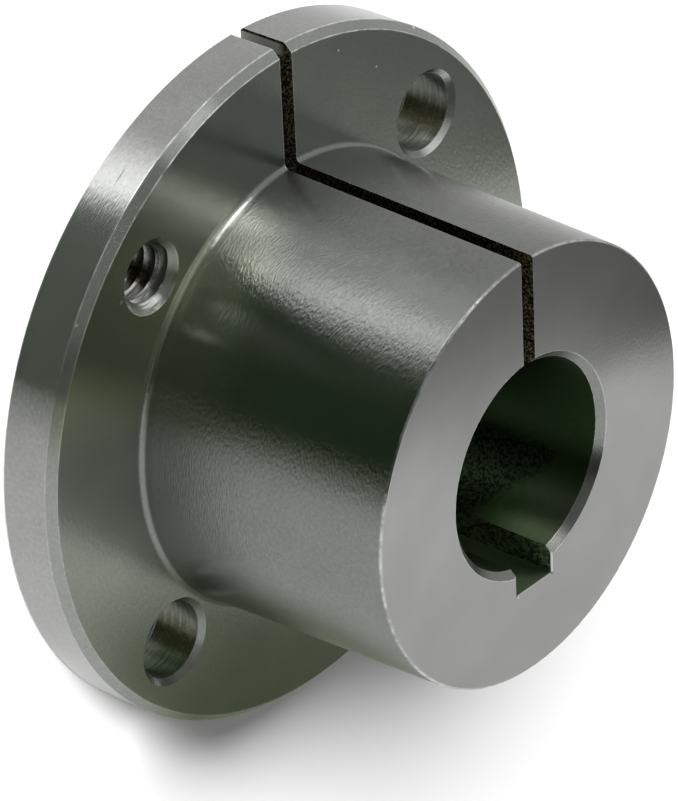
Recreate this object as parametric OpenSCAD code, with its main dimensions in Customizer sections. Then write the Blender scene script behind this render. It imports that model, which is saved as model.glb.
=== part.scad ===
// Split flanged bushing with a tapered barrel, for clamping a keyed shaft in a hub.
// One turned piece: a flange with plain and tapped screw holes, a barrel that narrows
// towards its nose, a keyed bore, and one saw cut that lets the whole piece close.
// The back of the flange lies on z = 0 and the bore runs along Z, nose upwards.

/* [Barrel] */
// Diameter of the barrel where it leaves the flange
barrel_d = 41.3; // [38:0.1:70]
// Length of the barrel in front of the flange
barrel_l = 25.4; // [15:0.1:60]
// Taper of the barrel: diameter lost over 100 mm of length
barrel_taper = 6.25; // [0:0.05:10]
// Radius of the fillet between barrel and flange
fillet_r = 0.5; // [0.2:0.05:1]
// Break on the outer edge of the nose
nose_break = 0.15; // [0.05:0.05:0.5]

/* [Flange] */
// Thickness of the flange
flange_t = 5.6; // [4:0.1:12]
// Flat left between the holes' mouths and the rim's bevel
rim_land = 1.55; // [0.5:0.05:6]
// Bevel on the front edge of the rim
rim_bevel = 0.75; // [0.2:0.05:1.5]
// Break on the back edge of the rim
back_break = 0.25; // [0.05:0.05:0.6]

/* [Bore] */
// Diameter of the bore
bore_d = 19.05; // [12:0.05:28]
// Chamfer at both ends of the bore
bore_chamfer = 0.65; // [0.2:0.05:1.2]
// Width of the keyway
key_w = 4.76; // [3:0.01:7]
// Depth of the keyway below the wall of the bore
key_depth = 2.2; // [1.2:0.05:3.4]
// Break on the keyway's edges at both ends
key_break = 0.15; // [0.05:0.05:0.4]

/* [Saw cut] */
// Width of the cut that splits the bushing
cut_w = 1.5; // [0.8:0.1:3]

/* [Screw holes] */
// Diameter of the plain holes, which clear the clamping screws
clear_d = 7.1; // [5:0.1:9]
// Chamfer at both ends of a plain hole
clear_chamfer = 0.5; // [0.1:0.05:1]
// Outer diameter of the thread in the tapped holes
thread_d = 6.35; // [4:0.05:8]
// How far the tapped holes' countersinks open past the thread
tap_lip = 0.22; // [0.1:0.01:0.6]
// Holes of each kind, plain and tapped by turns
holes_each = 2; // [2:1:3]
// Flat left between the barrel's fillet and the plain holes' mouths
barrel_land = 0.2; // [0.1:0.05:3]

/* [Hidden] */
$fn = 180;
// Steps of the fillet's arc
FILLET_STEPS = 8;
// How far a cutting shape runs past the face that it cuts
OVER = 1;

length = flange_t + barrel_l;
bore_r = bore_d / 2;
barrel_r = barrel_d / 2;
// Radius lost for each millimetre of barrel, and the tilt of its wall
slope = barrel_taper / 200;
wall_tilt = atan(slope);
nose_r = barrel_r - slope * barrel_l;
mouth_r = clear_d / 2 + clear_chamfer;
hole_circle_r = barrel_r + fillet_r + barrel_land + mouth_r;
flange_r = hole_circle_r + mouth_r + rim_land + rim_bevel;
key_floor = bore_r + key_depth;
// The saw cut is at +Y and the keyway opposite, with the holes spaced evenly between them
hole_step = 180 / holes_each;
first_hole = 90 - hole_step / 2;
// Centre of the fillet's arc, which touches the flange and the sloping barrel
fillet_x = barrel_r - slope * fillet_r + fillet_r / cos(wall_tilt);
fillet_z = flange_t + fillet_r;

// Points of an arc, from one angle to another
function arc(x, y, r, from, to, steps) =
    [for (i = [0:steps]) let (a = from + (to - from) * i / steps) [x + r * cos(a), y + r * sin(a)]];

// The section that is turned: radius across, height up
function outline() = concat(
    [
        [bore_r + bore_chamfer, 0],
        [flange_r - back_break, 0],
        [flange_r, back_break],
        [flange_r, flange_t - rim_bevel],
        [flange_r - rim_bevel, flange_t],
    ],
    arc(fillet_x, fillet_z, fillet_r, 270, 180 + wall_tilt, FILLET_STEPS),
    [
        [nose_r + slope * nose_break, length - nose_break],
        [nose_r - nose_break, length],
        [bore_r + bore_chamfer, length],
        [bore_r, length - bore_chamfer],
        [bore_r, bore_chamfer],
    ]
);

module turned_body() {
    rotate_extrude() polygon(outline());
}

// One 45 degree break along a straight edge that lies across X at height z
module edge_break(width, size) {
    rotate([45, 0, 0]) cube([width, size * sqrt(2), size * sqrt(2)], center = true);
}

module keyway() {
    translate([-key_w / 2, -key_floor, -OVER]) cube([key_w, key_floor, length + 2 * OVER]);
    for (z = [0, length]) {
        translate([0, -key_floor, z]) edge_break(key_w, key_break);
        for (side = [-1, 1])
            translate([side * key_w / 2, -key_floor / 2, z])
                rotate([0, 0, 90]) edge_break(key_floor, key_break);
    }
}

module saw_cut() {
    translate([-cut_w / 2, 0, -OVER]) cube([cut_w, flange_r + OVER, length + 2 * OVER]);
}

// A hole through the flange, opened by 45 degree chamfers at both faces
module flange_hole(d, chamfer) {
    translate([0, 0, -OVER]) cylinder(d = d, h = flange_t + 2 * OVER);
    for (end = [0, 1])
        translate([0, 0, end * flange_t]) mirror([0, 0, end]) translate([0, 0, -OVER])
            cylinder(r1 = d / 2 + chamfer + OVER, r2 = d / 2, h = chamfer + OVER);
}

module screw_holes() {
    for (i = [0 : 2 * holes_each - 1])
        rotate(first_hole + i * hole_step) translate([hole_circle_r, 0, 0])
            if (i % 2 == 0) flange_hole(clear_d, clear_chamfer);
            else flange_hole(thread_d, tap_lip);
}

module bushing() {
    color([0.26, 0.29, 0.26]) difference() {
        turned_body();
        keyway();
        saw_cut();
        screw_holes();
    }
}

bushing();
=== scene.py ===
# %% [markdown]
# # A split tapered bushing in blackened steel
#
# The real object is turned from one piece of steel: a flange with a tapered barrel, bored,
# keyed and drilled, then slit once with a saw so that it can close round a shaft. Last of all
# it is blackened in a hot salt bath, which leaves a thin dark skin with a slight green in it.
# The CAD model already has the true shape, so this lesson keeps its mesh and spends its
# effort on three things: the finish that each tool left, the thread in the tapped holes,
# and a studio whose reflections make dark metal readable.

# %% The fixed frame
import math

import bpy
from mathutils import Matrix, Vector


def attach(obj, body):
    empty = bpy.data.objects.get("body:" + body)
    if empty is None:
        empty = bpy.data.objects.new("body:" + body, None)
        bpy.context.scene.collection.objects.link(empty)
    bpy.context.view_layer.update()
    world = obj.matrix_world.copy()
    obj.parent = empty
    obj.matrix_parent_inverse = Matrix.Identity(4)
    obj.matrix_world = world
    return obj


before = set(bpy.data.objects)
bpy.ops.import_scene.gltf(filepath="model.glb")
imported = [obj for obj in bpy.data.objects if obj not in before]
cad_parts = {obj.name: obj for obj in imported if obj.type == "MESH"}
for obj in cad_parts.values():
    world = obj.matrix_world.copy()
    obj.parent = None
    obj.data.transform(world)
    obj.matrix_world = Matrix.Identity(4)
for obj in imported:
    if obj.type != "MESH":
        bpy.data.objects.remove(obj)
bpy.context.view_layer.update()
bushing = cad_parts["bushing"]

# %% [markdown]
# ## Sizes that the looks share with the CAD model
#
# The finish changes where one cut ends and the next begins, so the lesson repeats the few
# sizes that say where that is. They are in millimetres, because a machinist thinks in them.
# The bore runs along Z, with the flange at the bottom. The saw cut is at +Y, the keyway at -Y.

# %% Sizes of the part
MM = 0.001
LENGTH = 31.0
FLANGE_T = 5.6
FLANGE_R = 31.75
RIM_BEVEL = 0.75
NOSE_R = 19.856
NOSE_BREAK = 0.15
BORE_R = 9.525
BORE_CHAMFER = 0.65
HOLE_CIRCLE_R = 25.4
PLAIN_HOLE_R = 3.55
HOLE_CHAMFER = 0.5
THREAD_R = 3.175
THREAD_MOUTH_R = 3.395
CUT_W = 1.5
KEY_W = 4.76
print("flange", 2 * FLANGE_R, "mm across, bore", 2 * BORE_R, "mm, length", LENGTH, "mm")

# %% [markdown]
# ## The camera
#
# A long lens at half a metre gives the gentle perspective of a product photograph. The view
# is rolled, so the bushing, which stands on its flange here, seems to lie on its side. The
# three directions below are the picture's right, its up and the way that it looks.

# %% Camera
VIEW_RIGHT = Vector((0.64278, -0.03901, 0.76505))
VIEW_UP = Vector((0.41002, 0.86112, -0.30059))
VIEW_AHEAD = Vector((0.64708, -0.50690, -0.56951))
CAMERA_PLACE = Vector((-0.306472, 0.239119, 0.279544))
SENSOR_MM = 36
LENS_MM = 247.32

scene = bpy.context.scene
camera = bpy.data.objects.new("camera", bpy.data.cameras.new("camera"))
scene.collection.objects.link(camera)
turn = Matrix((VIEW_RIGHT, VIEW_UP, -VIEW_AHEAD)).transposed()
camera.matrix_world = Matrix.Translation(CAMERA_PLACE) @ turn.to_4x4()
camera.data.sensor_fit = "AUTO"
camera.data.sensor_width = SENSOR_MM
camera.data.lens = LENS_MM
camera.data.clip_start = 0.01
camera.data.clip_end = 20
scene.camera = camera
scene.view_settings.view_transform = "Standard"
print("camera", round(CAMERA_PLACE.length / MM), "mm from the flange's back, lens", LENS_MM, "mm")

# %% [markdown]
# ## Small helpers
#
# Shader trees are long lists of nodes, and one function that adds a node with its settings
# and its links keeps them short. Colours are written as sRGB hex values, as in a paint
# program, and turned into the linear values that a renderer works with.


# %% Helpers for nodes and colours
def connect(tree, node, inputs):
    """Sets a node's inputs, by name or number, to values, sockets or other nodes."""
    for key, value in inputs.items():
        if isinstance(value, bpy.types.Node):
            value = value.outputs[0]
        if isinstance(value, bpy.types.NodeSocket):
            tree.links.new(value, node.inputs[key])
        else:
            node.inputs[key].default_value = value


def add(tree, kind, inputs=None, **settings):
    """Adds a node with these settings and inputs."""
    node = tree.nodes.new(kind)
    for name, value in settings.items():
        setattr(node, name, value)
    connect(tree, node, inputs or {})
    return node


def linear(hex_colour):
    """An sRGB hex value as linear red, green, blue and alpha."""
    parts = [int(hex_colour[i : i + 2], 16) / 255 for i in (1, 3, 5)]
    return [p / 12.92 if p <= 0.04045 else ((p + 0.055) / 1.055) ** 2.4 for p in parts] + [1.0]


def empty_tree(owner):
    """The node tree of a material or a world, emptied."""
    owner.use_nodes = True
    owner.node_tree.nodes.clear()
    return owner.node_tree


def new_material(name):
    """An empty material with a Principled shader: the material, its tree and the shader."""
    material = bpy.data.materials.new(name)
    tree = empty_tree(material)
    shader = add(tree, "ShaderNodeBsdfPrincipled")
    add(tree, "ShaderNodeOutputMaterial", {"Surface": shader})
    return material, tree, shader


print("mid grey in linear light:", [round(v, 3) for v in linear("#808080")])

# %% [markdown]
# ## Blackened turned steel
#
# Hot blackening turns the outermost thousandth of a millimetre of the steel into black iron
# oxide. It follows every mark of the tool below it, so the part still shines as metal does,
# only dark. The base colour of a metal is what it reflects: a fifth to a third here, against
# more than a half for bare steel. The rim and the nose were cut last and came out lightest.
#
# The finish could be painted on a UV map. Here the shader works it out from where a point
# lies, because every surface of a turned part is known by a radius and a height. Object
# coordinates are the part's own, so the finish stays where it is from any side.

# %% Where on the part a point lies
HOLE_OFFSET = HOLE_CIRCLE_R / math.sqrt(2)
HOLE_MIDDLE = (HOLE_OFFSET, HOLE_OFFSET, 0)


def places(tree):
    """A point's place in mm, the same without its height, and where it lies from its hole.

    The holes lie one in each quarter of the flange. The last two results are the distance
    from the middle of the hole in the point's own quarter, and the direction.
    """
    object_place = add(tree, "ShaderNodeTexCoord").outputs["Object"]
    place = add(tree, "ShaderNodeVectorMath", {0: object_place, 3: 1 / MM}, operation="SCALE")
    flat = add(tree, "ShaderNodeVectorMath", {0: place, 1: (1, 1, 0)}, operation="MULTIPLY")
    folded = add(tree, "ShaderNodeVectorMath", {0: flat}, operation="ABSOLUTE")
    to_hole = add(tree, "ShaderNodeVectorMath", {0: folded, 1: HOLE_MIDDLE}, operation="DISTANCE")
    quarter = add(tree, "ShaderNodeVectorMath", {0: flat}, operation="SIGN")
    middle = add(tree, "ShaderNodeVectorMath", {0: quarter, 1: HOLE_MIDDLE}, operation="MULTIPLY")
    from_middle = add(tree, "ShaderNodeVectorMath", {0: flat, 1: middle}, operation="SUBTRACT")
    hole_way = add(tree, "ShaderNodeVectorMath", {0: from_middle}, operation="NORMALIZE")
    return place, flat, to_hole.outputs["Value"], hole_way


steel, tree, shader = new_material("Blackened turned steel")
place, flat, to_hole, hole_way = places(tree)
across_cut, towards_cut, height = add(tree, "ShaderNodeSeparateXYZ", {0: place}).outputs
beside_cut = add(tree, "ShaderNodeMath", {0: across_cut}, operation="ABSOLUTE")
around = add(tree, "ShaderNodeVectorMath", {0: flat}, operation="NORMALIZE")
radius = add(tree, "ShaderNodeVectorMath", {0: flat}, operation="LENGTH").outputs["Value"]
profile = add(tree, "ShaderNodeCombineXYZ", {0: radius, 1: height})
print("holes", round(HOLE_OFFSET, 3), "mm from the bore's axis along X and along Y")

# %% [markdown]
# ### A mask for each surface
#
# A mask is 1 on one surface and 0 elsewhere. It falls off over a few hundredths of a
# millimetre and not at once, so its edge isn't jagged. Masks that are multiplied give the
# place that they share. The helpers fill whichever tree is called tree at that time.

# %% Masks on the outside
FAR = 50.0
BARREL_FOOT_R = 21.3


def between(low, value, high, soft):
    """1 where value is from low to high, falling to 0 over the soft distance on both sides."""
    rise = add(
        tree,
        "ShaderNodeMapRange",
        {0: value, 1: low - soft, 2: low, 3: 0.0, 4: 1.0},
        interpolation_type="SMOOTHSTEP",
    )
    fall = add(
        tree,
        "ShaderNodeMapRange",
        {0: value, 1: high, 2: high + soft, 3: 1.0, 4: 0.0},
        interpolation_type="SMOOTHSTEP",
    )
    return add(tree, "ShaderNodeMath", {0: rise, 1: fall}, operation="MULTIPLY")


def overlap(mask, *others):
    """1 only where all of these masks are 1."""
    for other in others:
        mask = add(tree, "ShaderNodeMath", {0: mask, 1: other}, operation="MULTIPLY")
    return mask


on_nose = between(LENGTH - 0.05, height, FAR, 0.02)
on_flange = between(-FAR, height, FLANGE_T + 0.05, 0.05)
on_rim = overlap(
    between(FLANGE_R - 0.3, radius, FAR, 0.05),
    between(-FAR, height, FLANGE_T - RIM_BEVEL, 0.03),
)
on_bevel = overlap(
    between(FLANGE_R - RIM_BEVEL + 0.02, radius, FAR, 0.03),
    between(FLANGE_T - RIM_BEVEL + 0.03, height, FAR, 0.03),
)
on_face = overlap(
    between(BARREL_FOOT_R, radius, FAR, 0.2),
    between(FLANGE_T - 0.05, height, FLANGE_T + 0.1, 0.05),
)
on_barrel = overlap(
    between(BORE_R + 2.0, radius, BARREL_FOOT_R, 0.2),
    between(FLANGE_T + 1.0, height, LENGTH - NOSE_BREAK - 0.1, 0.3),
)
print("masks on the nose, flange, rim, bevel, face and barrel")

# %% Masks in the openings
KEY_REACH = 12.3
within_reach = between(-FAR, radius, KEY_REACH, 0.05)
in_bore = overlap(within_reach, between(BORE_CHAMFER, height, LENGTH - BORE_CHAMFER, 0.03))
in_slot = overlap(
    between(-FAR, beside_cut, KEY_W / 2 + 0.01, 0.01),
    between(-FAR, towards_cut, -8.5, 0.3),
    between(0.16, height, LENGTH - 0.16, 0.01),
    within_reach,
)
in_bore = add(tree, "ShaderNodeMath", {0: in_bore, 1: in_slot}, operation="MAXIMUM")
in_hole = overlap(
    between(-FAR, to_hole, PLAIN_HOLE_R + 0.03, 0.03),
    between(HOLE_CHAMFER, height, FLANGE_T - HOLE_CHAMFER, 0.03),
)
back_mouth_shade = overlap(
    between(-FAR, to_hole, PLAIN_HOLE_R + 0.7, 0.05),
    between(-FAR, height, HOLE_CHAMFER, 0.03),
)
in_cut = overlap(
    between(-FAR, beside_cut, CUT_W / 2 + 0.006, 0.004),
    between(BORE_R - 0.5, towards_cut, FAR, 0.1),
)
print("masks in the bore with its keyway, the plain holes, their back mouths and the saw cut")

# %% [markdown]
# ### Tool marks
#
# Each surface has marks in its own direction: rings where the piece turned on the lathe,
# rings along the hole where a drill went in, lines along the cut where the saw ran. They
# could be modelled, but at a hundredth of a millimetre deep they change the shine and not
# the outline, so a bump is enough. Its height is noise, squeezed across the marks and
# stretched along them. A finishing cut leaves rings about 0.1 mm apart, less than a pixel
# here, so they are drawn 0.2 mm apart. They are found from the distance to the bore's axis,
# so they close on themselves with no seam.

# %% Rings of the lathe and the drill
RING_PITCH = 0.2
RING_LENGTHS_ROUND = 14
GRAIN_PITCH = 0.26
GRAIN_LENGTHS_ROUND = 44
GRAIN_SHARE = 0.85
WALL_TRAVEL = 1.7

lathe_travel = add(
    tree, "ShaderNodeMath", {0: height, 1: WALL_TRAVEL, 2: radius}, operation="MULTIPLY_ADD"
)
travel = add(
    tree, "ShaderNodeMix", {0: in_hole, 2: lathe_travel, 3: height}, data_type="FLOAT"
)


def rings(way, lengths_round, travel, pitch, detail=2.0):
    """Noise in rings a pitch apart, each broken into about so many lengths per radian."""
    along = add(tree, "ShaderNodeVectorMath", {0: way, 3: lengths_round}, operation="SCALE")
    across = add(tree, "ShaderNodeMath", {0: travel, 1: 1 / pitch}, operation="MULTIPLY")
    lift = add(tree, "ShaderNodeCombineXYZ", {2: across})
    ring = add(tree, "ShaderNodeVectorMath", {0: along, 1: lift}, operation="ADD")
    return add(tree, "ShaderNodeTexNoise", {"Vector": ring, "Scale": 1.0, "Detail": detail})


ring_noise = rings(around, RING_LENGTHS_ROUND, travel, RING_PITCH)
grain_noise = rings(around, GRAIN_LENGTHS_ROUND, travel, GRAIN_PITCH, detail=3.0)
turned_height = add(
    tree, "ShaderNodeMix", {0: GRAIN_SHARE, 2: ring_noise, 3: grain_noise}, data_type="FLOAT"
)
print("rings", RING_PITCH, "mm apart, with grain", GRAIN_PITCH, "mm apart")

# %% [markdown]
# The saw ran down the length of the bushing, so its lines run that way, 0.2 mm apart and ten
# times as long. The depth of all marks is then set surface by surface. It is greatest on the
# barrel, which got the coarsest cut, and least on the nose.

# %% Lines of the saw, and how deep the marks are
SAW_LINES_PER_MM = (1, 5.0, 0.5)
MARKS_DEPTH = 0.000009
OTHER_DEPTH = 1.0

saw_lines = add(tree, "ShaderNodeVectorMath", {0: place, 1: SAW_LINES_PER_MM}, operation="MULTIPLY")
saw_noise = add(tree, "ShaderNodeTexNoise", {"Vector": saw_lines, "Scale": 1.0, "Detail": 4.0})
marks_height = add(
    tree, "ShaderNodeMix", {0: in_cut, 2: turned_height, 3: saw_noise}, data_type="FLOAT"
)
depth = OTHER_DEPTH
for mask, value in (
    (on_barrel, 4.6),
    (on_nose, 0.4),
    (on_rim, 1.6),
    (in_bore, 1.0),
    (in_hole, 2.0),
    (in_cut, 1.0),
):
    depth = add(tree, "ShaderNodeMix", {0: mask, 2: depth, 3: value}, data_type="FLOAT")
marks_height = add(tree, "ShaderNodeMath", {0: marks_height, 1: depth}, operation="MULTIPLY")
marks_bump = add(
    tree, "ShaderNodeBump", {"Strength": 1.0, "Distance": MARKS_DEPTH, "Height": marks_height}
)
print("marks", round(MARKS_DEPTH * 1e6), "thousandths of a mm deep, times each surface's own number")

# %% [markdown]
# ### Colour of the skin
#
# The bath darkens the surfaces unequally: a finely cut one takes less oxide than a torn one.
# The bore and the sawn wall are painted nearly black, as painted shade, since little light
# reaches into them. Over that lie soft clouds some millimetres wide, and a fine tooth, which
# is drawn at 0.3 mm because the real one wouldn't show.

# %% Skin of each surface, with clouds and tooth
CLOUD_MM = 6.25
GRIT_MM = 0.3125
BARREL_SKIN = linear("#7c7e7a")

colour = BARREL_SKIN
for mask, skin in (
    (on_nose, "#8b8c89"),
    (on_face, "#7b7f76"),
    (on_rim, "#999a98"),
    (on_bevel, "#8c8f8a"),
    # painted shade: the bore's near-black green skin stands in for shade deep in the bore
    (in_bore, "#36492d"),
    (in_hole, "#868a80"),
    # painted shade: the sawn wall's near-black skin stands in for shade in the narrow cut
    (in_cut, "#070604"),
):
    mixed = add(tree, "ShaderNodeMix", {0: mask, 6: colour, 7: linear(skin)}, data_type="RGBA")
    colour = mixed.outputs[2]
clouds = add(tree, "ShaderNodeTexNoise", {"Vector": place, "Scale": 1 / CLOUD_MM, "Detail": 3.0})
cloudy = add(tree, "ShaderNodeMapRange", {0: clouds, 1: 0.3, 2: 0.7, 3: 0.95, 4: 1.05})
grit = add(
    tree,
    "ShaderNodeTexNoise",
    {"Vector": place, "Scale": 1 / GRIT_MM, "Detail": 3.0, "Roughness": 0.7},
)
tooth = add(tree, "ShaderNodeMapRange", {0: grit, 1: 0.35, 2: 0.65, 3: 0.92, 4: 1.08})
tooth = add(tree, "ShaderNodeMix", {0: on_nose, 2: tooth, 3: 1.0}, data_type="FLOAT")
for light in (cloudy, tooth):
    scaled = add(tree, "ShaderNodeVectorMath", {0: colour, 3: light}, operation="SCALE")
    colour = scaled.outputs[0]
print("clouds", CLOUD_MM, "mm wide, tooth", GRIT_MM, "mm")

# %% [markdown]
# ### Painted reflection between flange and barrel
#
# The flange face and the barrel's root reflect each other where they meet. In a sector of
# each the base colour is raised, to paint that reflection brighter: a painted reflection. It
# covers a sector, so a mask is needed that goes by the direction from an axis. The cosine
# between two directions gives it. The same mask serves the holes later on.


# %% Sectors, tints and the painted reflection
def compass(degrees):
    """The direction at this angle in the flange's plane."""
    return (math.cos(math.radians(degrees)), math.sin(math.radians(degrees)), 0)


def facing(way, degrees, wide, narrow):
    """1 where a direction is within narrow degrees of this angle, falling to 0 at wide."""
    side = add(
        tree, "ShaderNodeVectorMath", {0: way, 1: compass(degrees)}, operation="DOT_PRODUCT"
    ).outputs["Value"]
    lowest = math.cos(math.radians(wide))
    highest = math.cos(math.radians(narrow))
    return add(
        tree,
        "ShaderNodeMapRange",
        {0: side, 1: lowest, 2: highest, 3: 0.0, 4: 1.0},
        interpolation_type="SMOOTHSTEP",
    )


def painted(mask, paint):
    """The colour so far, with this paint over it where the mask is 1."""
    mixed = add(tree, "ShaderNodeMix", {0: mask, 6: colour, 7: paint}, data_type="RGBA")
    return mixed.outputs[2]


def tinted(mask, factor):
    """The colour so far, multiplied by a factor for each channel where the mask is 1."""
    changed = add(tree, "ShaderNodeVectorMath", {0: colour, 1: factor}, operation="MULTIPLY")
    return painted(mask, changed)


painted_reflection_root = overlap(
    between(20.0, radius, BARREL_FOOT_R, 0.2),
    between(FLANGE_T + 0.3, height, 9.0, 6.0),
)
# painted reflection: these sectors are brightened where flange and barrel reflect each other
for mask, degrees, wide, narrow, factor in (
    (on_face, 147, 24, 8, (1.38, 1.42, 1.15)),
    (painted_reflection_root, 139, 24, 12, (1.4, 1.42, 1.3)),
    (painted_reflection_root, 126, 19, 5, (1.85, 1.87, 1.8)),
):
    colour = tinted(overlap(mask, facing(around, degrees, wide, narrow)), factor)
print("painted reflection on the flange and at the barrel's root")

# %% [markdown]
# ### A dark scratch on the rim
#
# One scratch on the rim has filled with dirt. It is an oval in the rim's own plane: the
# place is measured along the scratch and up from its middle, each divided by the scratch's
# own size, so that a distance of 1 is its edge.

# %% Dark scratch
SCRATCH_MIDDLE = (-17.65, 26.39, 2.55)
SCRATCH_ALONG = (0.831, 0.556, 0)
SCRATCH_HALF_SIZE = (1.0, 0.09, 1.0)

from_scratch = add(
    tree, "ShaderNodeVectorMath", {0: place, 1: SCRATCH_MIDDLE}, operation="SUBTRACT"
)
scratch_along = add(
    tree, "ShaderNodeVectorMath", {0: from_scratch, 1: SCRATCH_ALONG}, operation="DOT_PRODUCT"
).outputs["Value"]
scratch_up = add(tree, "ShaderNodeSeparateXYZ", {0: from_scratch}).outputs["Z"]
scratch_place = add(tree, "ShaderNodeCombineXYZ", {0: scratch_along, 1: scratch_up})
scratch_place = add(
    tree, "ShaderNodeVectorMath", {0: scratch_place, 1: SCRATCH_HALF_SIZE}, operation="DIVIDE"
)
to_scratch = add(tree, "ShaderNodeVectorMath", {0: scratch_place}, operation="LENGTH")
scratch = add(
    tree, "ShaderNodeMapRange", {0: to_scratch.outputs["Value"], 1: 0.4, 2: 1.0, 3: 0.45, 4: 1.0}
)
colour = add(tree, "ShaderNodeVectorMath", {0: colour, 3: scratch}, operation="SCALE").outputs[0]
print("scratch", 2 * SCRATCH_HALF_SIZE[0], "mm long")

# %% [markdown]
# ### The sawn wall
#
# A saw tears steel. The wall of the cut is painted black, as painted shade, with broken ridges
# a fifth of a millimetre wide that stand out of the black and catch the light. Where the cut
# runs out through the rim it is open to the light, and there the wall is painted light.

# %% Torn ridges and the open end of the cut
TORN_GRAINS_PER_MM = (3.0, 4.5, 4.5)
SAWN_RIDGE = linear("#7d775a")
SAWN_PAINTED_LIGHT = linear("#c9cac4")

torn = add(tree, "ShaderNodeVectorMath", {0: place, 1: TORN_GRAINS_PER_MM}, operation="MULTIPLY")
torn = add(
    tree, "ShaderNodeTexNoise", {"Vector": torn, "Scale": 1.0, "Detail": 3.0, "Roughness": 0.7}
)
ridge = add(tree, "ShaderNodeMapRange", {0: torn, 1: 0.48, 2: 0.6, 3: 0.0, 4: 1.0})
colour = painted(overlap(ridge, in_cut), SAWN_RIDGE)
# painted light: the wall is lighter where the cut opens through the rim and light gets in
cut_painted_light = overlap(
    in_cut,
    between(FLANGE_R - 1.3, towards_cut, FLANGE_R - 0.35, 0.15),
    between(-FAR, height, FLANGE_T - 1.7, 1.1),
)
colour = painted(cut_painted_light, SAWN_PAINTED_LIGHT)
print("ridges", round(1 / TORN_GRAINS_PER_MM[1], 2), "mm wide on the sawn wall")

# %% [markdown]
# ### The drilled holes
#
# A drill leaves coarse rings, light and dark by turns, 0.25 mm apart. Its chips scorched one
# side of the wall brown, with a ragged edge, and beside that the wall is darker. In the lower
# hole one side is darker and greener, less so towards the back. The mouths at the back, which
# stand on the floor, are painted dull and dark, as painted shade.

# %% Drill rings and scorched side
DRILL_RING_PITCH = 0.25
SCORCHED = linear("#504e34")

drill_rings = rings(hole_way, 1, height, DRILL_RING_PITCH)
drill_light = add(tree, "ShaderNodeMapRange", {0: drill_rings, 1: 0.35, 2: 0.65, 3: 0.6, 4: 1.25})
drilled = add(tree, "ShaderNodeVectorMath", {0: colour, 3: drill_light}, operation="SCALE")
colour = painted(in_hole, drilled)


def ragged_side(degrees, noise, raggedness):
    """1 on the side of a hole at this angle, with an edge that the noise makes ragged."""
    side = add(
        tree, "ShaderNodeVectorMath", {0: hole_way, 1: compass(degrees)}, operation="DOT_PRODUCT"
    ).outputs["Value"]
    edge = add(
        tree, "ShaderNodeMath", {0: noise, 1: raggedness, 2: side}, operation="MULTIPLY_ADD"
    )
    return add(tree, "ShaderNodeMapRange", {0: edge, 1: 0.98, 2: 1.16, 3: 0.0, 4: 1.0})


colour = painted(overlap(ragged_side(-36, grit, 0.28), in_hole), SCORCHED)
colour = tinted(overlap(in_hole, facing(hole_way, -60, 20, 8)), (0.6, 0.6, 0.6))
print("drill rings", DRILL_RING_PITCH, "mm apart")

# %% Green side of the lower hole, and the mouths at the back
LOW_SIDE_TINT = (0.36, 0.5, 0.32)
BACK_MOUTH_SHADE = linear("#30322d")

low_hole = overlap(in_hole, between(-FAR, across_cut, 0, 0.1))
low_side_fade = add(tree, "ShaderNodeMapRange", {0: height, 1: 1.0, 2: 3.2, 3: 0.4, 4: 1.0})
colour = tinted(overlap(low_hole, low_side_fade, facing(hole_way, -76, 50, 26)), LOW_SIDE_TINT)
# painted shade: the back mouths are painted dark and dull
colour = painted(back_mouth_shade, BACK_MOUTH_SHADE)
print("green side in the lower hole, dull mouths at the back")

# %% [markdown]
# ### The bore and its keyway
#
# The bore is painted a very dark green, as painted shade. Deep inside, on the keyway's side,
# the oxide built up in black grains, in a wedge that ends on a slant. Near the nose one side is
# painted a little lighter and greyer: a painted highlight.
# The keyway was cut by a broach, which tore its walls, so their grains are stronger, and
# left its floor clean.

# %% Grains in the bore
GRAIN_WEDGE_SLOPE = -1.2

deep_side = add(
    tree,
    "ShaderNodeMath",
    {0: towards_cut, 1: GRAIN_WEDGE_SLOPE, 2: height},
    operation="MULTIPLY_ADD",
)
in_wedge = overlap(
    between(-FAR, towards_cut, -4.6, 1.0),
    between(-FAR, deep_side, 31.8, 2.2),
    between(-FAR, height, 26.0, 1.5),
    in_bore,
)
grains = add(tree, "ShaderNodeMapRange", {0: grit, 1: 0.44, 2: 0.56, 3: 0.05, 4: 0.75})
bore_grain = add(tree, "ShaderNodeMix", {0: in_wedge, 2: 1.0, 3: grains}, data_type="FLOAT")
colour = add(tree, "ShaderNodeVectorMath", {0: colour, 3: bore_grain}, operation="SCALE").outputs[0]
# painted highlight: a lighter, greyer patch near the nose
painted_highlight_side = overlap(in_bore, between(28.0, height, LENGTH, 3.5), facing(around, -60, 22, 6))
colour = tinted(painted_highlight_side, (1.45, 1.08, 1.5))
print("grains in a wedge of the bore")

# %% Walls and floor of the keyway
KEY_SKIN = linear("#5c6a52")
KEY_FLOOR_SKIN = linear("#7d9170")
KEY_FLOOR_Y = -11.62

in_key = overlap(
    between(BORE_R + 0.05, radius, KEY_REACH, 0.05),
    in_bore,
    between(-FAR, towards_cut, 0, 0.1),
)
key_grains = add(tree, "ShaderNodeMapRange", {0: grit, 1: 0.42, 2: 0.58, 3: 0.2, 4: 1.6})
key_wall = add(
    tree, "ShaderNodeVectorMath", {0: KEY_SKIN[:3], 3: key_grains}, operation="SCALE"
).outputs[0]
on_key_floor = between(-FAR, towards_cut, KEY_FLOOR_Y, 0.05)
key_colour = add(
    tree, "ShaderNodeMix", {0: on_key_floor, 6: key_wall, 7: KEY_FLOOR_SKIN}, data_type="RGBA"
).outputs[2]
colour = painted(in_key, key_colour)
print("keyway", KEY_W, "mm wide")
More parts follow.
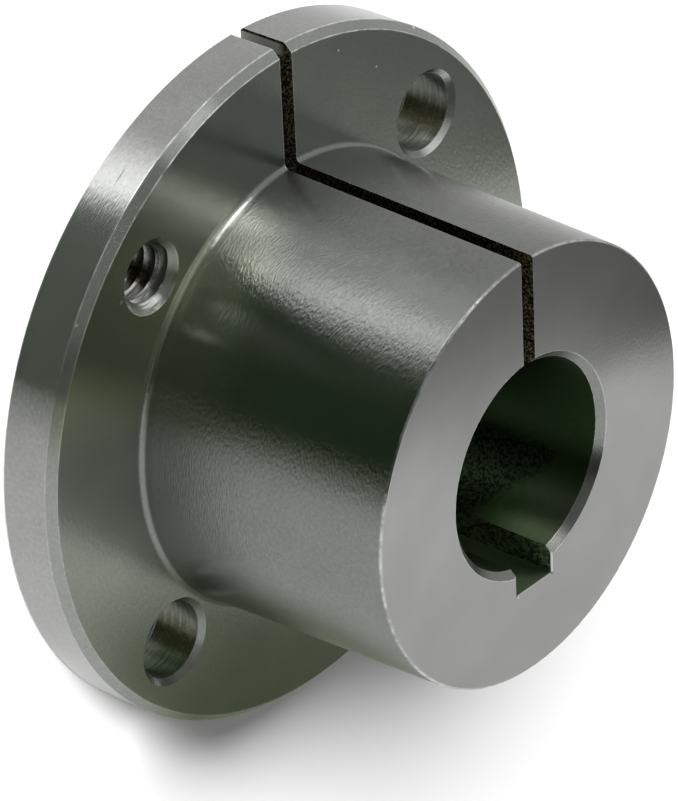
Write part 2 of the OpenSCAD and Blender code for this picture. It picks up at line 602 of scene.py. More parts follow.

# %% [markdown]
# ### Wear and painted highlights along the edges
#
# Sharp edges rub through first, and they catch the light, so a thin broken line of brighter
# metal runs along each turned edge: partly wear, partly painted highlight. Such an edge is a
# circle: one radius and one height. The distance to that point in the profile is all that
# these lines need. The flange's front edges are brightest beside the saw cut, where a
# highlight falls on them: a painted highlight. The saw also left a burr along the cut, and
# noise breaks all these lines up.

# %% Wear and glints on turned edges
FRONT_EDGES = (
    (FLANGE_R, FLANGE_T - RIM_BEVEL, 0.13),
    (FLANGE_R - RIM_BEVEL, FLANGE_T, 0.11),
)
OTHER_EDGES = (
    (NOSE_R - NOSE_BREAK / 2, LENGTH - NOSE_BREAK / 2, 0.22),
    (BORE_R + BORE_CHAMFER, LENGTH, 0.05),
    (BORE_R, LENGTH - BORE_CHAMFER, 0.04),
    (FLANGE_R, 0.25, 0.05),
    (FLANGE_R - 0.25, 0.0, 0.05),
)

# painted highlight: the front edges are brightest where a highlight falls near the saw cut
glint_side = facing(around, 100, 60, 25)
edge_glint = add(tree, "ShaderNodeMapRange", {0: glint_side, 1: 0.0, 2: 1.0, 3: 0.35, 4: 1.9})
wear_and_glints = 0.0
for edge_r, edge_z, width in FRONT_EDGES + OTHER_EDGES:
    away = add(
        tree, "ShaderNodeVectorMath", {0: profile, 1: (edge_r, edge_z, 0)}, operation="DISTANCE"
    ).outputs["Value"]
    line = add(tree, "ShaderNodeMapRange", {0: away, 1: 0.0, 2: width, 3: 1.0, 4: 0.0})
    if (edge_r, edge_z, width) in FRONT_EDGES:
        line = add(tree, "ShaderNodeMath", {0: line, 1: edge_glint}, operation="MULTIPLY")
    wear_and_glints = add(tree, "ShaderNodeMath", {0: wear_and_glints, 1: line}, operation="MAXIMUM")
print("wear on", len(FRONT_EDGES + OTHER_EDGES), "turned edges")

# %% Burr of the saw, and noise that breaks the lines up
WEAR_AND_GLINT_MM = 1.43

burr_fade = add(
    tree, "ShaderNodeMapRange", {0: height, 1: FLANGE_T, 2: FLANGE_T + 0.5, 3: 1.0, 4: 0.35}
)
burr = overlap(
    between(CUT_W / 2 + 0.01, beside_cut, CUT_W / 2 + 0.06, 0.005),
    between(BORE_R + 0.1, towards_cut, FAR, 0.1),
    burr_fade,
)
wear_and_glints = add(tree, "ShaderNodeMath", {0: wear_and_glints, 1: burr}, operation="MAXIMUM")
wear_and_glint_noise = add(
    tree,
    "ShaderNodeTexNoise",
    {"Vector": place, "Scale": 1 / WEAR_AND_GLINT_MM, "Detail": 5.0, "Roughness": 0.7},
)
wear_and_glint_amount = add(tree, "ShaderNodeMapRange", {0: wear_and_glint_noise, 1: 0.4, 2: 0.6, 3: 0.2, 4: 0.85})
wear_and_glints = add(
    tree, "ShaderNodeMath", {0: wear_and_glints, 1: wear_and_glint_amount}, operation="MULTIPLY", use_clamp=True
)
print("wear breaks up every", WEAR_AND_GLINT_MM, "mm or so")

# %% [markdown]
# Three kinds of bright marks come on top and stay whole. The mouth of one plain hole has
# painted highlights, crescents that are brightest on the side away from the saw cut. The key
# wore down the lip of its slot at the nose. And a few nicks from handling are small bright
# dots, each a place and a size.

# %% Painted highlight in a hole's mouth, and the key's lip
mouth_highlight_ring = overlap(
    between(PLAIN_HOLE_R + 0.04, to_hole, PLAIN_HOLE_R + HOLE_CHAMFER, 0.03),
    between(FLANGE_T - HOLE_CHAMFER, height, FLANGE_T - 0.02, 0.02),
    between(0, across_cut, FAR, 0.1),
)
key_lip = overlap(
    between(-FAR, beside_cut, KEY_W / 2 + 0.16, 0.02),
    between(LENGTH - 0.14, height, LENGTH - 0.03, 0.02),
    between(-FAR, towards_cut, -9.0, 0.3),
)
# painted highlight: crescents in the plain hole's mouth; the key's lip is real wear
for rub_and_shine, most in (
    (overlap(mouth_highlight_ring, facing(hole_way, -64, 40, 2)), 0.95),
    (overlap(mouth_highlight_ring, facing(hole_way, 42, 34, 4)), 0.3),
    (key_lip, 0.6),
):
    rub_and_shine = add(tree, "ShaderNodeMath", {0: rub_and_shine, 1: most}, operation="MULTIPLY")
    wear_and_glints = add(tree, "ShaderNodeMath", {0: wear_and_glints, 1: rub_and_shine}, operation="MAXIMUM")
print("rubbed: one hole's mouth and the key's lip")

# %% Bright nicks
WEAR_AND_GLINT_STEEL = linear("#d0d1cf")
BRIGHT_NICKS = (
    ((6.75, 28.73, 5.6), 0.14),
    ((11.58, 25.2, 5.6), 0.14),
    ((-26.56, 17.13, 5.0), 0.16),
    ((-23.78, 20.99, 4.9), 0.14),
    ((-17.78, 10.06, 12.7), 0.12),
    ((-18.2, 9.27, 12.9), 0.11),
    ((-0.59, 20.35, 15.0), 0.12),
    ((-21.72, 17.27, 5.6), 0.24),
    ((17.34, 26.4, 5.0), 0.24),
    ((-2.25, -11.85, 31.0), 0.13),
)

for spot, size in BRIGHT_NICKS:
    away = add(tree, "ShaderNodeVectorMath", {0: place, 1: spot}, operation="DISTANCE")
    nick = add(
        tree,
        "ShaderNodeMapRange",
        {0: away.outputs["Value"], 1: size / 2, 2: size, 3: 0.9, 4: 0.0},
    )
    wear_and_glints = add(tree, "ShaderNodeMath", {0: wear_and_glints, 1: nick}, operation="MAXIMUM")
colour = painted(wear_and_glints, WEAR_AND_GLINT_STEEL)
print(len(BRIGHT_NICKS), "nicks")

# %% [markdown]
# ### The shine
#
# Turned steel under oxide is half glossy. The marks are too fine to resolve, so besides the
# bump they smear each reflection across the rings, which is what the shader's anisotropy
# does, with a tangent that runs round the bore's axis. The sawn wall and the back mouths
# scatter light instead of reflecting it.

# %% Roughness, metal and anisotropy
roughness = 0.24
for mask, value in (
    (on_nose, 0.17),
    (on_face, 0.17),
    (on_rim, 0.15),
    (on_bevel, 0.18),
    (in_bore, 0.4),
    (in_hole, 0.42),
    (in_cut, 0.85),
    (back_mouth_shade, 1.0),
):
    roughness = add(tree, "ShaderNodeMix", {0: mask, 2: roughness, 3: value}, data_type="FLOAT")
metallic = add(tree, "ShaderNodeMapRange", {0: on_flange, 1: 0.0, 2: 1.0, 3: 0.985, 4: 0.92})
metallic = add(tree, "ShaderNodeMix", {0: back_mouth_shade, 2: metallic, 3: 0.0}, data_type="FLOAT")
tangent = add(tree, "ShaderNodeTangent", direction_type="RADIAL", axis="Z")
connect(
    tree,
    shader,
    {
        "Base Color": colour,
        "Metallic": metallic,
        "Roughness": roughness,
        "Normal": marks_bump,
        "Tangent": tangent,
        "Anisotropic": 0.95,
        "Anisotropic Rotation": 0.25,
    },
)
for slot in bushing.material_slots:
    slot.material = steel
print("steel has", len(tree.nodes), "nodes")

# %% [markdown]
# ## The thread in the tapped holes
#
# A screw thread is one V-shaped groove on a helix. The CAD model has the plain hole at the
# thread's outer diameter, and the thread itself is a thin sleeve that fills it. It follows a
# rule, so Geometry Nodes make it: a flat grid is rolled up, one axis turning round the hole,
# the other running up it. Every row is tilted by one pitch per turn, so the crest of the
# thread runs along the rows and stays sharp.

# %% Sizes of the thread as inputs of its tree
PITCH = 1.27
DRILLED_R = 2.55
ROOT_R = 3.14
SHARP_R = 3.3125
SLEEVE = 0.02

thread_sizes = {
    "Pitch": PITCH,
    "Drilled radius": DRILLED_R,
    "Root radius": ROOT_R,
    "Sharp radius": SHARP_R,
    "Mouth radius": THREAD_MOUTH_R,
    "Sleeve radius": THREAD_R + SLEEVE,
    "Depth": FLANGE_T,
    "Hole circle radius": HOLE_CIRCLE_R,
    "First hole angle": math.radians(135),
}
thread_tree = bpy.data.node_groups.new("Threads in tapped holes", "GeometryNodeTree")
sockets = thread_tree.interface
sockets.new_socket("Geometry", in_out="INPUT", socket_type="NodeSocketGeometry")
for name in thread_sizes:
    sockets.new_socket(name, in_out="INPUT", socket_type="NodeSocketFloat")
sockets.new_socket("Material", in_out="INPUT", socket_type="NodeSocketMaterial")
sockets.new_socket("Geometry", in_out="OUTPUT", socket_type="NodeSocketGeometry")
given = add(thread_tree, "NodeGroupInput").outputs
print("thread", 2 * THREAD_R, "mm across with a pitch of", PITCH, "mm")

# %% [markdown]
# Both ends of the sleeve open in the cone of a countersink, so it starts and ends where that
# cone is as wide as the sleeve. The rows begin one pitch lower, because each climbs by one
# pitch, and the height is clamped to the two ends. A pitch is a whole number of rows, so the
# end of each turn meets the start of the next and the seam closes. One row more goes straight
# back to the start and makes the sleeve's outer wall.

# %% A grid with a tilt
STEPS_ROUND = 120
ROWS_PER_PITCH = 16

tree = thread_tree
low_end = add(
    tree,
    "ShaderNodeMath",
    {0: given["Mouth radius"], 1: given["Sleeve radius"]},
    operation="SUBTRACT",
)
high_end = add(tree, "ShaderNodeMath", {0: given["Depth"], 1: low_end}, operation="SUBTRACT")
row_count = math.ceil((FLANGE_T + PITCH) / PITCH * ROWS_PER_PITCH)
grid = add(
    tree,
    "GeometryNodeMeshGrid",
    {"Size X": 1.0, "Size Y": 1.0, "Vertices X": STEPS_ROUND + 1, "Vertices Y": row_count + 2},
)
grid_place = add(tree, "ShaderNodeSeparateXYZ", {0: add(tree, "GeometryNodeInputPosition")})
turns = add(tree, "ShaderNodeMath", {0: grid_place.outputs["X"], 1: 0.5}, operation="ADD")
row = add(tree, "ShaderNodeMath", {0: grid_place.outputs["Y"], 1: 0.5}, operation="ADD")
row = add(tree, "ShaderNodeMath", {0: row, 1: (row_count + 1) / row_count}, operation="MULTIPLY")
in_thread = add(tree, "ShaderNodeMath", {0: row, 1: 1 + 0.5 / row_count}, operation="LESS_THAN")
row = add(tree, "ShaderNodeMath", {0: row, 1: in_thread}, operation="MULTIPLY")
print("thread grid:", STEPS_ROUND, "by", row_count, "faces")

# %% Height of each row
first_row = add(tree, "ShaderNodeMath", {0: low_end, 1: given["Pitch"]}, operation="SUBTRACT")
last_row = add(
    tree,
    "ShaderNodeMath",
    {0: given["Pitch"], 1: row_count / ROWS_PER_PITCH, 2: first_row},
    operation="MULTIPLY_ADD",
)
along_helix = add(tree, "ShaderNodeMapRange", {0: row, 1: 0.0, 2: 1.0, 3: first_row, 4: last_row})
climb = add(
    tree,
    "ShaderNodeMath",
    {0: turns, 1: given["Pitch"], 2: along_helix},
    operation="MULTIPLY_ADD",
)
thread_z = add(tree, "ShaderNodeClamp", {0: climb, 1: low_end, 2: high_end})
print("rows", round(PITCH / ROWS_PER_PITCH, 3), "mm apart")

# %% [markdown]
# The V itself is a saw-tooth folded in the middle: 60 degrees between its sides, which makes
# its full height 0.866 of the pitch. Its tip is cut off by the drilled hole and its root by
# the tap, so it is clamped between those two radii. Where a countersink's cone is wider than
# the thread, the cone wins.

# %% Profile of the thread and its countersinks
V_HEIGHT_PER_PITCH = 0.866

in_pitches = add(tree, "ShaderNodeMath", {0: along_helix, 1: given["Pitch"]}, operation="DIVIDE")
phase = add(tree, "ShaderNodeMath", {0: in_pitches}, operation="FRACT")
fold = add(tree, "ShaderNodeMath", {0: phase, 1: 2.0, 2: -1.0}, operation="MULTIPLY_ADD")
fold = add(tree, "ShaderNodeMath", {0: fold}, operation="ABSOLUTE")
v_height = add(
    tree, "ShaderNodeMath", {0: given["Pitch"], 1: V_HEIGHT_PER_PITCH}, operation="MULTIPLY"
)
tip = add(tree, "ShaderNodeMath", {0: given["Sharp radius"], 1: v_height}, operation="SUBTRACT")
v_radius = add(tree, "ShaderNodeMath", {0: fold, 1: v_height, 2: tip}, operation="MULTIPLY_ADD")
v_radius = add(
    tree, "ShaderNodeClamp", {0: v_radius, 1: given["Drilled radius"], 2: given["Root radius"]}
)
from_top = add(tree, "ShaderNodeMath", {0: given["Depth"], 1: thread_z}, operation="SUBTRACT")
thread_r = v_radius
for from_mouth in (thread_z, from_top):
    cone = add(
        tree, "ShaderNodeMath", {0: given["Mouth radius"], 1: from_mouth}, operation="SUBTRACT"
    )
    thread_r = add(tree, "ShaderNodeMath", {0: thread_r, 1: cone}, operation="MAXIMUM")
print("V", round(PITCH * V_HEIGHT_PER_PITCH, 2), "mm high before its tip and root are cut off")

# %% [markdown]
# The grid is now rolled up: its place along X becomes an angle. Points that meet are merged,
# which closes the seam and the ends. The rolled sheet comes out with its faces turned into
# the steel, so they are flipped. Shading is smooth except at the edges of crest and root.

# %% Rolled up and closed
MERGE_MM = 0.002
CREASE = math.radians(24)

turn_angle = add(tree, "ShaderNodeMath", {0: turns, 1: math.tau}, operation="MULTIPLY")
cosine = add(tree, "ShaderNodeMath", {0: turn_angle}, operation="COSINE")
sine = add(tree, "ShaderNodeMath", {0: turn_angle}, operation="SINE")
thread_x = add(tree, "ShaderNodeMath", {0: thread_r, 1: cosine}, operation="MULTIPLY")
thread_y = add(tree, "ShaderNodeMath", {0: thread_r, 1: sine}, operation="MULTIPLY")
thread_place = add(tree, "ShaderNodeCombineXYZ", {0: thread_x, 1: thread_y, 2: thread_z})
rolled = add(tree, "GeometryNodeSetPosition", {"Geometry": grid, "Position": thread_place})
closed = add(tree, "GeometryNodeMergeByDistance", {"Geometry": rolled, "Distance": MERGE_MM})
outward = add(tree, "GeometryNodeFlipFaces", {"Mesh": closed})
smooth = add(tree, "GeometryNodeSetShadeSmooth", {"Geometry": outward, "Shade Smooth": True})
edge_angle = add(tree, "GeometryNodeInputMeshEdgeAngle")
is_sharp = add(tree, "ShaderNodeMath", {0: edge_angle, 1: CREASE}, operation="GREATER_THAN")
creased = add(
    tree,
    "GeometryNodeSetShadeSmooth",
    {"Geometry": smooth, "Selection": is_sharp, "Shade Smooth": False},
    domain="EDGE",
)
print("sharp edges from", round(math.degrees(CREASE)), "degrees")

# %% [markdown]
# The sleeve is made once, in millimetres at the origin, and an instance of it goes to each
# tapped hole. Instances have no mesh of their own, so the tree makes them real. It ends with
# the material, which the next section makes.

# %% A sleeve in each tapped hole
TAPPED_HOLES = 2

hole_points = add(tree, "GeometryNodePoints", {"Count": TAPPED_HOLES})
hole_number = add(tree, "GeometryNodeInputIndex")
hole_angle = add(
    tree,
    "ShaderNodeMath",
    {0: hole_number, 1: math.tau / TAPPED_HOLES, 2: given["First hole angle"]},
    operation="MULTIPLY_ADD",
)
hole_cosine = add(tree, "ShaderNodeMath", {0: hole_angle}, operation="COSINE")
hole_sine = add(tree, "ShaderNodeMath", {0: hole_angle}, operation="SINE")
to_point = add(tree, "ShaderNodeCombineXYZ", {0: hole_cosine, 1: hole_sine})
hole_place = add(
    tree, "ShaderNodeVectorMath", {0: to_point, 3: given["Hole circle radius"]}, operation="SCALE"
)
placed = add(tree, "GeometryNodeSetPosition", {"Geometry": hole_points, "Position": hole_place})
sleeve_turn = add(tree, "ShaderNodeCombineXYZ", {2: hole_angle})
sleeves = add(
    tree,
    "GeometryNodeInstanceOnPoints",
    {"Points": placed, "Instance": creased, "Rotation": sleeve_turn},
)
real_sleeves = add(tree, "GeometryNodeRealizeInstances", {"Geometry": sleeves})
in_metres = add(tree, "GeometryNodeTransform", {"Geometry": real_sleeves, "Scale": (MM, MM, MM)})
finished = add(
    tree, "GeometryNodeSetMaterial", {"Geometry": in_metres, "Material": given["Material"]}
)
add(tree, "NodeGroupOutput", {"Geometry": finished})
print("thread tree:", len(tree.nodes), "nodes")

# %% [markdown]
# ### The finish of the thread
#
# A tap tears the steel a little where the lathe cuts it clean, so the thread's flanks are
# rougher, and its crests are painted bright: a painted highlight. Tears 0.25 mm wide colour it
# and raise it a little.

# %% Cut thread with painted highlights on its crests
TEAR_MM = 0.25
TEAR_DEPTH = 0.000015
FLANK_SKIN = linear("#5d6058")
CREST_HIGHLIGHT = linear("#a9aaa6")

thread_steel, tree, shader = new_material("Cut thread in blackened steel")
place, flat, to_hole, hole_way = places(tree)
thread_height = add(tree, "ShaderNodeSeparateXYZ", {0: place}).outputs["Z"]
tear = add(tree, "ShaderNodeTexNoise", {"Vector": place, "Scale": 1 / TEAR_MM, "Detail": 4.0})
crest = add(
    tree,
    "ShaderNodeMapRange",
    {0: to_hole, 1: DRILLED_R + 0.04, 2: DRILLED_R + 0.12, 3: 1.0, 4: 0.0},
)
crest_highlight_amount = add(tree, "ShaderNodeMapRange", {0: tear, 1: 0.35, 2: 0.65, 3: 0.1, 4: 0.6})
colour = FLANK_SKIN
# painted highlight: the crests are painted bright
colour = painted(overlap(crest, crest_highlight_amount), CREST_HIGHLIGHT)
tear_bump = add(
    tree, "ShaderNodeBump", {"Strength": 1.0, "Distance": TEAR_DEPTH, "Height": tear}
)
print("tears", TEAR_MM, "mm wide in the thread")

# %% [markdown]
# Deep in the hole, on one side, the thread is dark brown, with a ragged edge. On one side it
# is painted bright, in lines 0.2 mm apart: a painted highlight. The countersink is a little
# brighter all round.

# %% Torn and scored sides
DEEP_DARK_BROWN = linear("#27210f")
HIGHLIGHT_STEEL = linear("#d9dad8")
SCORE_PITCH = 0.2

deep_fade = add(tree, "ShaderNodeMapRange", {0: thread_height, 1: 3.0, 2: 3.6, 3: 1.0, 4: 0.0})
colour = painted(overlap(ragged_side(-42, tear, 0.3), deep_fade), DEEP_DARK_BROWN)
highlight_side_cosine = add(
    tree, "ShaderNodeVectorMath", {0: hole_way, 1: compass(-86)}, operation="DOT_PRODUCT"
).outputs["Value"]
highlight_side_fade = add(tree, "ShaderNodeMapRange", {0: highlight_side_cosine, 1: 0.86, 2: 0.97, 3: 0.0, 4: 1.0})
scores = rings(hole_way, 1, thread_height, SCORE_PITCH)
highlight_lines = add(tree, "ShaderNodeMapRange", {0: scores, 1: 0.35, 2: 0.6, 3: 0.0, 4: 0.9})
mouth = add(tree, "ShaderNodeMapRange", {0: thread_height, 1: 4.65, 2: 4.8, 3: 0.0, 4: 0.14})
# painted highlight: bright lines on one side of the thread
bright = add(
    tree, "ShaderNodeMath", {0: overlap(highlight_side_fade, highlight_lines), 1: mouth}, operation="MAXIMUM"
)
connect(
    tree,
    shader,
    {
        "Base Color": painted(bright, HIGHLIGHT_STEEL),
        "Metallic": 0.92,
        "Roughness": 0.3,
        "Normal": tear_bump,
    },
)
print("thread finish:", thread_steel.name, "with", len(tree.nodes), "nodes")

# %% [markdown]
# ### The threads as one plain mesh
#
# A modifier's inputs are set by each socket's identifier. The evaluated result is then
# copied to a plain mesh, so nothing depends on the tree any more.

# %% Threads
seed = bpy.data.objects.new("thread_seed", bpy.data.meshes.new("thread_seed"))
scene.collection.objects.link(seed)
modifier = seed.modifiers.new("threads", "NODES")
modifier.node_group = thread_tree
for item in thread_tree.interface.items_tree:
    if item.in_out == "INPUT" and item.name in thread_sizes:
        modifier[item.identifier] = thread_sizes[item.name]
    if item.in_out == "INPUT" and item.name == "Material":
        modifier[item.identifier] = thread_steel
bpy.context.view_layer.update()
evaluated = seed.evaluated_get(bpy.context.evaluated_depsgraph_get())
thread_mesh = bpy.data.meshes.new_from_object(evaluated)
thread_mesh.name = "release_threads"
threads = bpy.data.objects.new("release_threads", thread_mesh)
scene.collection.objects.link(threads)
bpy.data.objects.remove(seed)
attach(threads, "root")
print("threads:", len(thread_mesh.polygons), "faces")

# %% [markdown]
# ## The studio
#
# Dark polished metal has almost no colour of its own: what it shows is the room. The room
# here is a small product studio, described in the picture's own right, up and depth:
# a white sheet under the part, a large soft box above and behind it, whose front edge is
# its brightest strip, a small bulb, and an unlit side towards the photographer. Reflections
# see all of this in the world's shader and on one light card, while rough surfaces and the
# floor see only a plain soft light, so the shadow on the floor stays soft and simple.

# %% Directions in the studio
STUDIO_RIGHT = VIEW_RIGHT
STUDIO_UP = VIEW_UP
STUDIO_FRONT = -VIEW_AHEAD

box_way = (0.425 * STUDIO_RIGHT + 0.693 * STUDIO_UP - 0.582 * STUDIO_FRONT).normalized()
bulb_way = (0.285 * STUDIO_RIGHT + 0.763 * STUDIO_UP + 0.58 * STUDIO_FRONT).normalized()
world = bpy.data.worlds.new("studio")
scene.world = world
tree = empty_tree(world)
direction = add(tree, "ShaderNodeTexCoord").outputs["Generated"]
towards = {}
for name, way in (
    ("box", box_way),
    ("bulb", bulb_way),
    ("right", STUDIO_RIGHT),
    ("back", -STUDIO_FRONT),
):
    towards[name] = add(
        tree, "ShaderNodeVectorMath", {0: direction, 1: way}, operation="DOT_PRODUCT"
    ).outputs["Value"]
box_angle = math.degrees(box_way.angle(STUDIO_UP))
print("soft box", round(box_angle), "degrees from the picture's up")

# %% [markdown]
# The soft box takes in almost half of all directions, and how far a direction points towards
# it is all that its shading needs: it starts just above 0, is brightest there, along its
# front edge, and evens out further in. Straight behind the part it is a third brighter. The
# bulb is small and strong, for the hard glints that a soft box can't give.

# %% Soft box and bulb
BOX_LEVEL = 0.76
STRIP_LEVEL = 2.0
BACK_LEVEL = 1.38
BULB_LEVEL = 20.0
BULB_EDGE = math.cos(math.radians(9.5))
BULB_CORE = math.cos(math.radians(4))

in_box = add(
    tree,
    "ShaderNodeMapRange",
    {0: towards["box"], 1: 0.035, 2: 0.07, 3: 0.0, 4: 1.0},
    interpolation_type="SMOOTHSTEP",
)
strip_fade = add(
    tree,
    "ShaderNodeMapRange",
    {0: towards["box"], 1: 0.1, 2: 0.42, 3: STRIP_LEVEL, 4: 0.0},
    interpolation_type="SMOOTHSTEP",
)
strip_right = add(
    tree,
    "ShaderNodeMapRange",
    {0: towards["right"], 1: 0.05, 2: 0.45, 3: 1.0, 4: 0.0},
    interpolation_type="SMOOTHSTEP",
)
back_lift = add(
    tree, "ShaderNodeMapRange", {0: towards["back"], 1: 0.78, 2: 0.93, 3: 1.0, 4: BACK_LEVEL}
)
bulb = add(
    tree,
    "ShaderNodeMapRange",
    {0: towards["bulb"], 1: BULB_EDGE, 2: BULB_CORE, 3: 0.0, 4: BULB_LEVEL},
)
strip = add(tree, "ShaderNodeMath", {0: strip_fade, 1: strip_right}, operation="MULTIPLY")
box_light = add(tree, "ShaderNodeMath", {0: strip, 1: BOX_LEVEL}, operation="ADD")
box_light = add(
    tree, "ShaderNodeMath", {0: box_light, 1: back_lift, 2: bulb}, operation="MULTIPLY_ADD"
)
print("box", BOX_LEVEL, "strip", BOX_LEVEL + STRIP_LEVEL, "bulb", BULB_LEVEL)

# %% [markdown]
# Below the soft box lies the unlit room, dark green on the left and grey on the right. Only
# a reflection sees all this. The camera sees white, and rough surfaces see one dim level.

# %% Unlit room, and who sees what
UNLIT_SIDE = linear("#284220")
NEAR_SIDE = linear("#919490")
SOFT_LEVEL = 0.12
SOFT_LIGHT = (SOFT_LEVEL, SOFT_LEVEL, SOFT_LEVEL, 1)
WHITE = (1, 1, 1, 1)

near_side = add(
    tree,
    "ShaderNodeMapRange",
    {0: towards["right"], 1: -0.3, 2: 0.35, 3: 0.0, 4: 1.0},
    interpolation_type="SMOOTHSTEP",
)
box_grey = add(tree, "ShaderNodeCombineColor", {0: box_light, 1: box_light, 2: box_light})
rays = add(tree, "ShaderNodeLightPath").outputs
unlit = add(
    tree, "ShaderNodeMix", {0: near_side, 6: UNLIT_SIDE, 7: NEAR_SIDE}, data_type="RGBA"
).outputs[2]
studio = add(
    tree, "ShaderNodeMix", {0: in_box, 6: unlit, 7: box_grey}, data_type="RGBA"
).outputs[2]
plain = add(
    tree,
    "ShaderNodeMix",
    {0: rays["Is Camera Ray"], 6: SOFT_LIGHT, 7: WHITE},
    data_type="RGBA",
).outputs[2]
world_colour = add(
    tree, "ShaderNodeMix", {0: rays["Is Glossy Ray"], 6: plain, 7: studio}, data_type="RGBA"
).outputs[2]
background = add(tree, "ShaderNodeBackground", {"Color": world_colour, "Strength": 1.0})
add(tree, "ShaderNodeOutputWorld", {"Surface": background})
print("world:", len(tree.nodes), "nodes")

# %% [markdown]
# ### The sheet as a light card
#
# The sheet is close to the part, so its edge moves across a face from one side to the other.
# A world is infinitely far away and can't do that, but a card can. It glows as a lit sheet
# does, fades at its edges, and is darker below the part. Only reflections see it.


# %% Light card
def flat_sheet(name, corners):
    """A flat sheet with one face through these corners, in metres."""
    mesh = bpy.data.meshes.new(name)
    mesh.from_pydata(corners, [], [tuple(range(len(corners)))])
    sheet = bpy.data.objects.new(name, mesh)
    scene.collection.objects.link(sheet)
    return sheet


CARD_PITCH = math.radians(15)
CARD_HALF = 0.9
CARD_BELOW = 0.0321
SQUARE = ((-1, -1), (1, -1), (1, 1), (-1, 1))

card_down = -STUDIO_UP * math.cos(CARD_PITCH) - STUDIO_FRONT * math.sin(CARD_PITCH)
card_back = -STUDIO_FRONT * math.cos(CARD_PITCH) + STUDIO_UP * math.sin(CARD_PITCH)
card = flat_sheet(
    "light_card",
    [
        card_down * CARD_BELOW + STUDIO_RIGHT * (CARD_HALF * i) + card_back * (CARD_HALF * j)
        for i, j in SQUARE
    ],
)
card_material = bpy.data.materials.new("Lit white sheet")
tree = empty_tree(card_material)
card_place = add(tree, "ShaderNodeTexCoord").outputs["Object"]
along = {}
for name, way in (
    ("right", STUDIO_RIGHT),
    ("back", card_back),
    ("aslant", 0.847 * STUDIO_RIGHT - 0.53 * card_back),
):
    along[name] = add(
        tree, "ShaderNodeVectorMath", {0: card_place, 1: way}, operation="DOT_PRODUCT"
    ).outputs["Value"]
print("card", round(CARD_BELOW / MM, 1), "mm from the part's origin, tilted by 15 degrees")

# %% [markdown]
# The card's brightness is a product of simple fades, in metres over the card. It rises
# towards its right edge, which runs aslant, and drops to a low level past that. It fades
# slowly to the left and quickly towards the front.

# %% Fades towards the card's sides
SHEET_LEVEL = 1.05
EDGE_LEVEL = 1.3
SIDE_LEVEL = 0.22

brighter = add(
    tree,
    "ShaderNodeMapRange",
    {0: along["aslant"], 1: 0.025, 2: 0.07, 3: SHEET_LEVEL, 4: EDGE_LEVEL},
)
right_side = add(
    tree,
    "ShaderNodeMapRange",
    {0: along["aslant"], 1: 0.076, 2: 0.088, 3: brighter, 4: SIDE_LEVEL},
    interpolation_type="SMOOTHSTEP",
)
left_side = add(
    tree, "ShaderNodeMapRange", {0: along["right"], 1: -0.2, 2: -0.04, 3: 0.62, 4: 1.0}
)
front_side = add(
    tree,
    "ShaderNodeMapRange",
    {0: along["back"], 1: -0.13, 2: -0.045, 3: 0.25, 4: 1.0},
    interpolation_type="SMOOTHSTEP",
)
print("sheet", SHEET_LEVEL, "rising to", EDGE_LEVEL, "and", SIDE_LEVEL, "past its right edge")

# %% [markdown]
# Below the part the sheet gets no light, so an oval there is dark. Where the card is dim it
# is also a little green, as the shade on the real sheet is.

# %% Shade of the part on the card
SHADE_MIDDLE = (0.0045, 0.004, 0)
SHADE_RADII = (0.021, 0.022, 1)
UNLIT_LEVEL = 0.25
SHADE_TINT = (0.95, 1.09, 0.78, 1)

shade_place = add(tree, "ShaderNodeCombineXYZ", {0: along["right"], 1: along["back"]})
for operation, amount in (("SUBTRACT", SHADE_MIDDLE), ("DIVIDE", SHADE_RADII)):
    shade_place = add(
        tree, "ShaderNodeVectorMath", {0: shade_place, 1: amount}, operation=operation
    )
from_shade = add(tree, "ShaderNodeVectorMath", {0: shade_place}, operation="LENGTH")
shade = add(
    tree,
    "ShaderNodeMapRange",
    {0: from_shade.outputs["Value"], 1: 0.45, 2: 1.25, 3: 0.12, 4: 1.0},
    interpolation_type="SMOOTHSTEP",
)
shade = add(tree, "ShaderNodeMath", {0: shade, 1: UNLIT_LEVEL}, operation="MAXIMUM")
dim = overlap(shade, front_side)
tint_amount = add(tree, "ShaderNodeMapRange", {0: dim, 1: 0.25, 2: 0.8, 3: 1.0, 4: 0.0})
tint = add(tree, "ShaderNodeMix", {0: tint_amount, 6: WHITE, 7: SHADE_TINT}, data_type="RGBA")
lit = overlap(right_side, left_side, front_side, shade)
glow = add(tree, "ShaderNodeEmission", {"Color": tint.outputs[2], "Strength": lit})
add(tree, "ShaderNodeOutputMaterial", {"Surface": glow})
card.data.materials.append(card_material)
for kind in ("camera", "diffuse", "transmission", "shadow", "volume_scatter"):
    setattr(card, "visible_" + kind, False)
print("light card:", len(tree.nodes), "nodes")

# %% [markdown]
# ### Floor
#
# The floor is plain and pale. The lamp and the world light it almost to white, and a little
# glow that only the camera sees takes it the rest of the way, so the shadow stays. It lies a
# hair below the part, so the two don't share a plane.

# %% Floor
FLOOR_HALF = 6.0
FLOOR_BELOW = 0.00002
FLOOR_GLOW = 0.06

floor = flat_sheet("floor", [(x * FLOOR_HALF, y * FLOOR_HALF, -FLOOR_BELOW) for x, y in SQUARE])
floor_material, tree, shader = new_material("Matt white paper")
rays = add(tree, "ShaderNodeLightPath").outputs
camera_glow = add(
    tree, "ShaderNodeMath", {0: rays["Is Camera Ray"], 1: FLOOR_GLOW}, operation="MULTIPLY"
)
connect(
    tree,
    shader,
    {
        "Base Color": linear("#f3f3f3"),
        "Roughness": 0.9,
        "Specular IOR Level": 0.0,
        "Emission Color": WHITE,
        "Emission Strength": camera_glow,
    },
)
floor.data.materials.append(floor_material)
floor.visible_glossy = False
print("floor", 2 * FLOOR_HALF, "m wide")
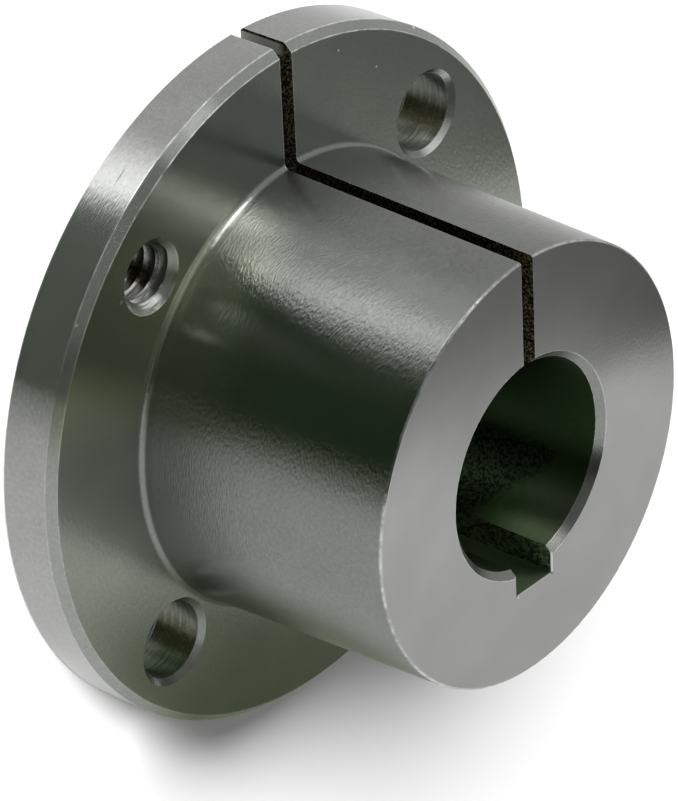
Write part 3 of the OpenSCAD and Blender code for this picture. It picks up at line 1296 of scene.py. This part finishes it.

# %% [markdown]
# ### Painted shade under the part
#
# Through the holes of the flange one sees what the part stands on, in the part's own shade.
# Bare floor would glow there, since the camera's glow reaches it. A round grey sheet, smaller
# than the flange, covers it and shows nowhere else: painted shade.


# %% Sheet of painted shade
def oval(middle, radii, steps):
    """Corners of a level oval round this place, in metres."""
    angles = [math.tau * i / steps for i in range(steps)]
    return [middle + Vector((radii[0] * math.cos(a), radii[1] * math.sin(a), 0)) for a in angles]


SHADE_SHEET_R = 29.0 * MM
SHADE_SHEET_MIDDLE = Vector((0, 0, -0.00001))

# painted shade: a grey sheet where the part's own shade falls on the floor
shade_sheet = flat_sheet("shade_sheet", oval(SHADE_SHEET_MIDDLE, (SHADE_SHEET_R, SHADE_SHEET_R), 64))
shade_sheet_material, tree, shader = new_material("Grey painted shade")
connect(
    tree,
    shader,
    {"Base Color": linear("#4e514c"), "Roughness": 1.0, "Specular IOR Level": 0.0},
)
shade_sheet.data.materials.append(shade_sheet_material)
shade_sheet.visible_glossy = False
print("shade_sheet", round(2 * SHADE_SHEET_R / MM), "mm across under a flange of", 2 * FLANGE_R, "mm")

# %% [markdown]
# ### Lamp and flag
#
# The lamp is a sun with a wide disc: its light is even over the whole floor and its shadow is
# soft. Photographers keep light off a spot with a flag, a small black card near it. This one
# hangs beside the barrel and darkens the floor at the flange's foot. It only casts a shadow.

# %% Lamp and flag
LAMP_ENERGY = 5.9
LAMP_DISC = math.radians(29)
LAMP_AZIMUTH = math.radians(124)
LAMP_HEIGHT = math.radians(36)
FLAG_MIDDLE = Vector((-4.5, -22.2, 11.5)) * MM
FLAG_RADII = (19.4 * MM, 7.0 * MM)

lamp_data = bpy.data.lights.new("soft_lamp", "SUN")
lamp_data.energy = LAMP_ENERGY
lamp_data.angle = LAMP_DISC
lamp = bpy.data.objects.new("soft_lamp", lamp_data)
scene.collection.objects.link(lamp)
lamp.visible_glossy = False
lamp_way = Vector(
    (
        math.cos(LAMP_AZIMUTH) * math.cos(LAMP_HEIGHT),
        math.sin(LAMP_AZIMUTH) * math.cos(LAMP_HEIGHT),
        math.sin(LAMP_HEIGHT),
    )
)
lamp.rotation_mode = "QUATERNION"
lamp.rotation_quaternion = lamp_way.to_track_quat("Z", "Y")

flag = flat_sheet("flag", oval(FLAG_MIDDLE, FLAG_RADII, 48))
for kind in ("camera", "diffuse", "glossy", "transmission", "volume_scatter"):
    setattr(flag, "visible_" + kind, False)
print("lamp", round(math.degrees(LAMP_HEIGHT)), "degrees above the floor")
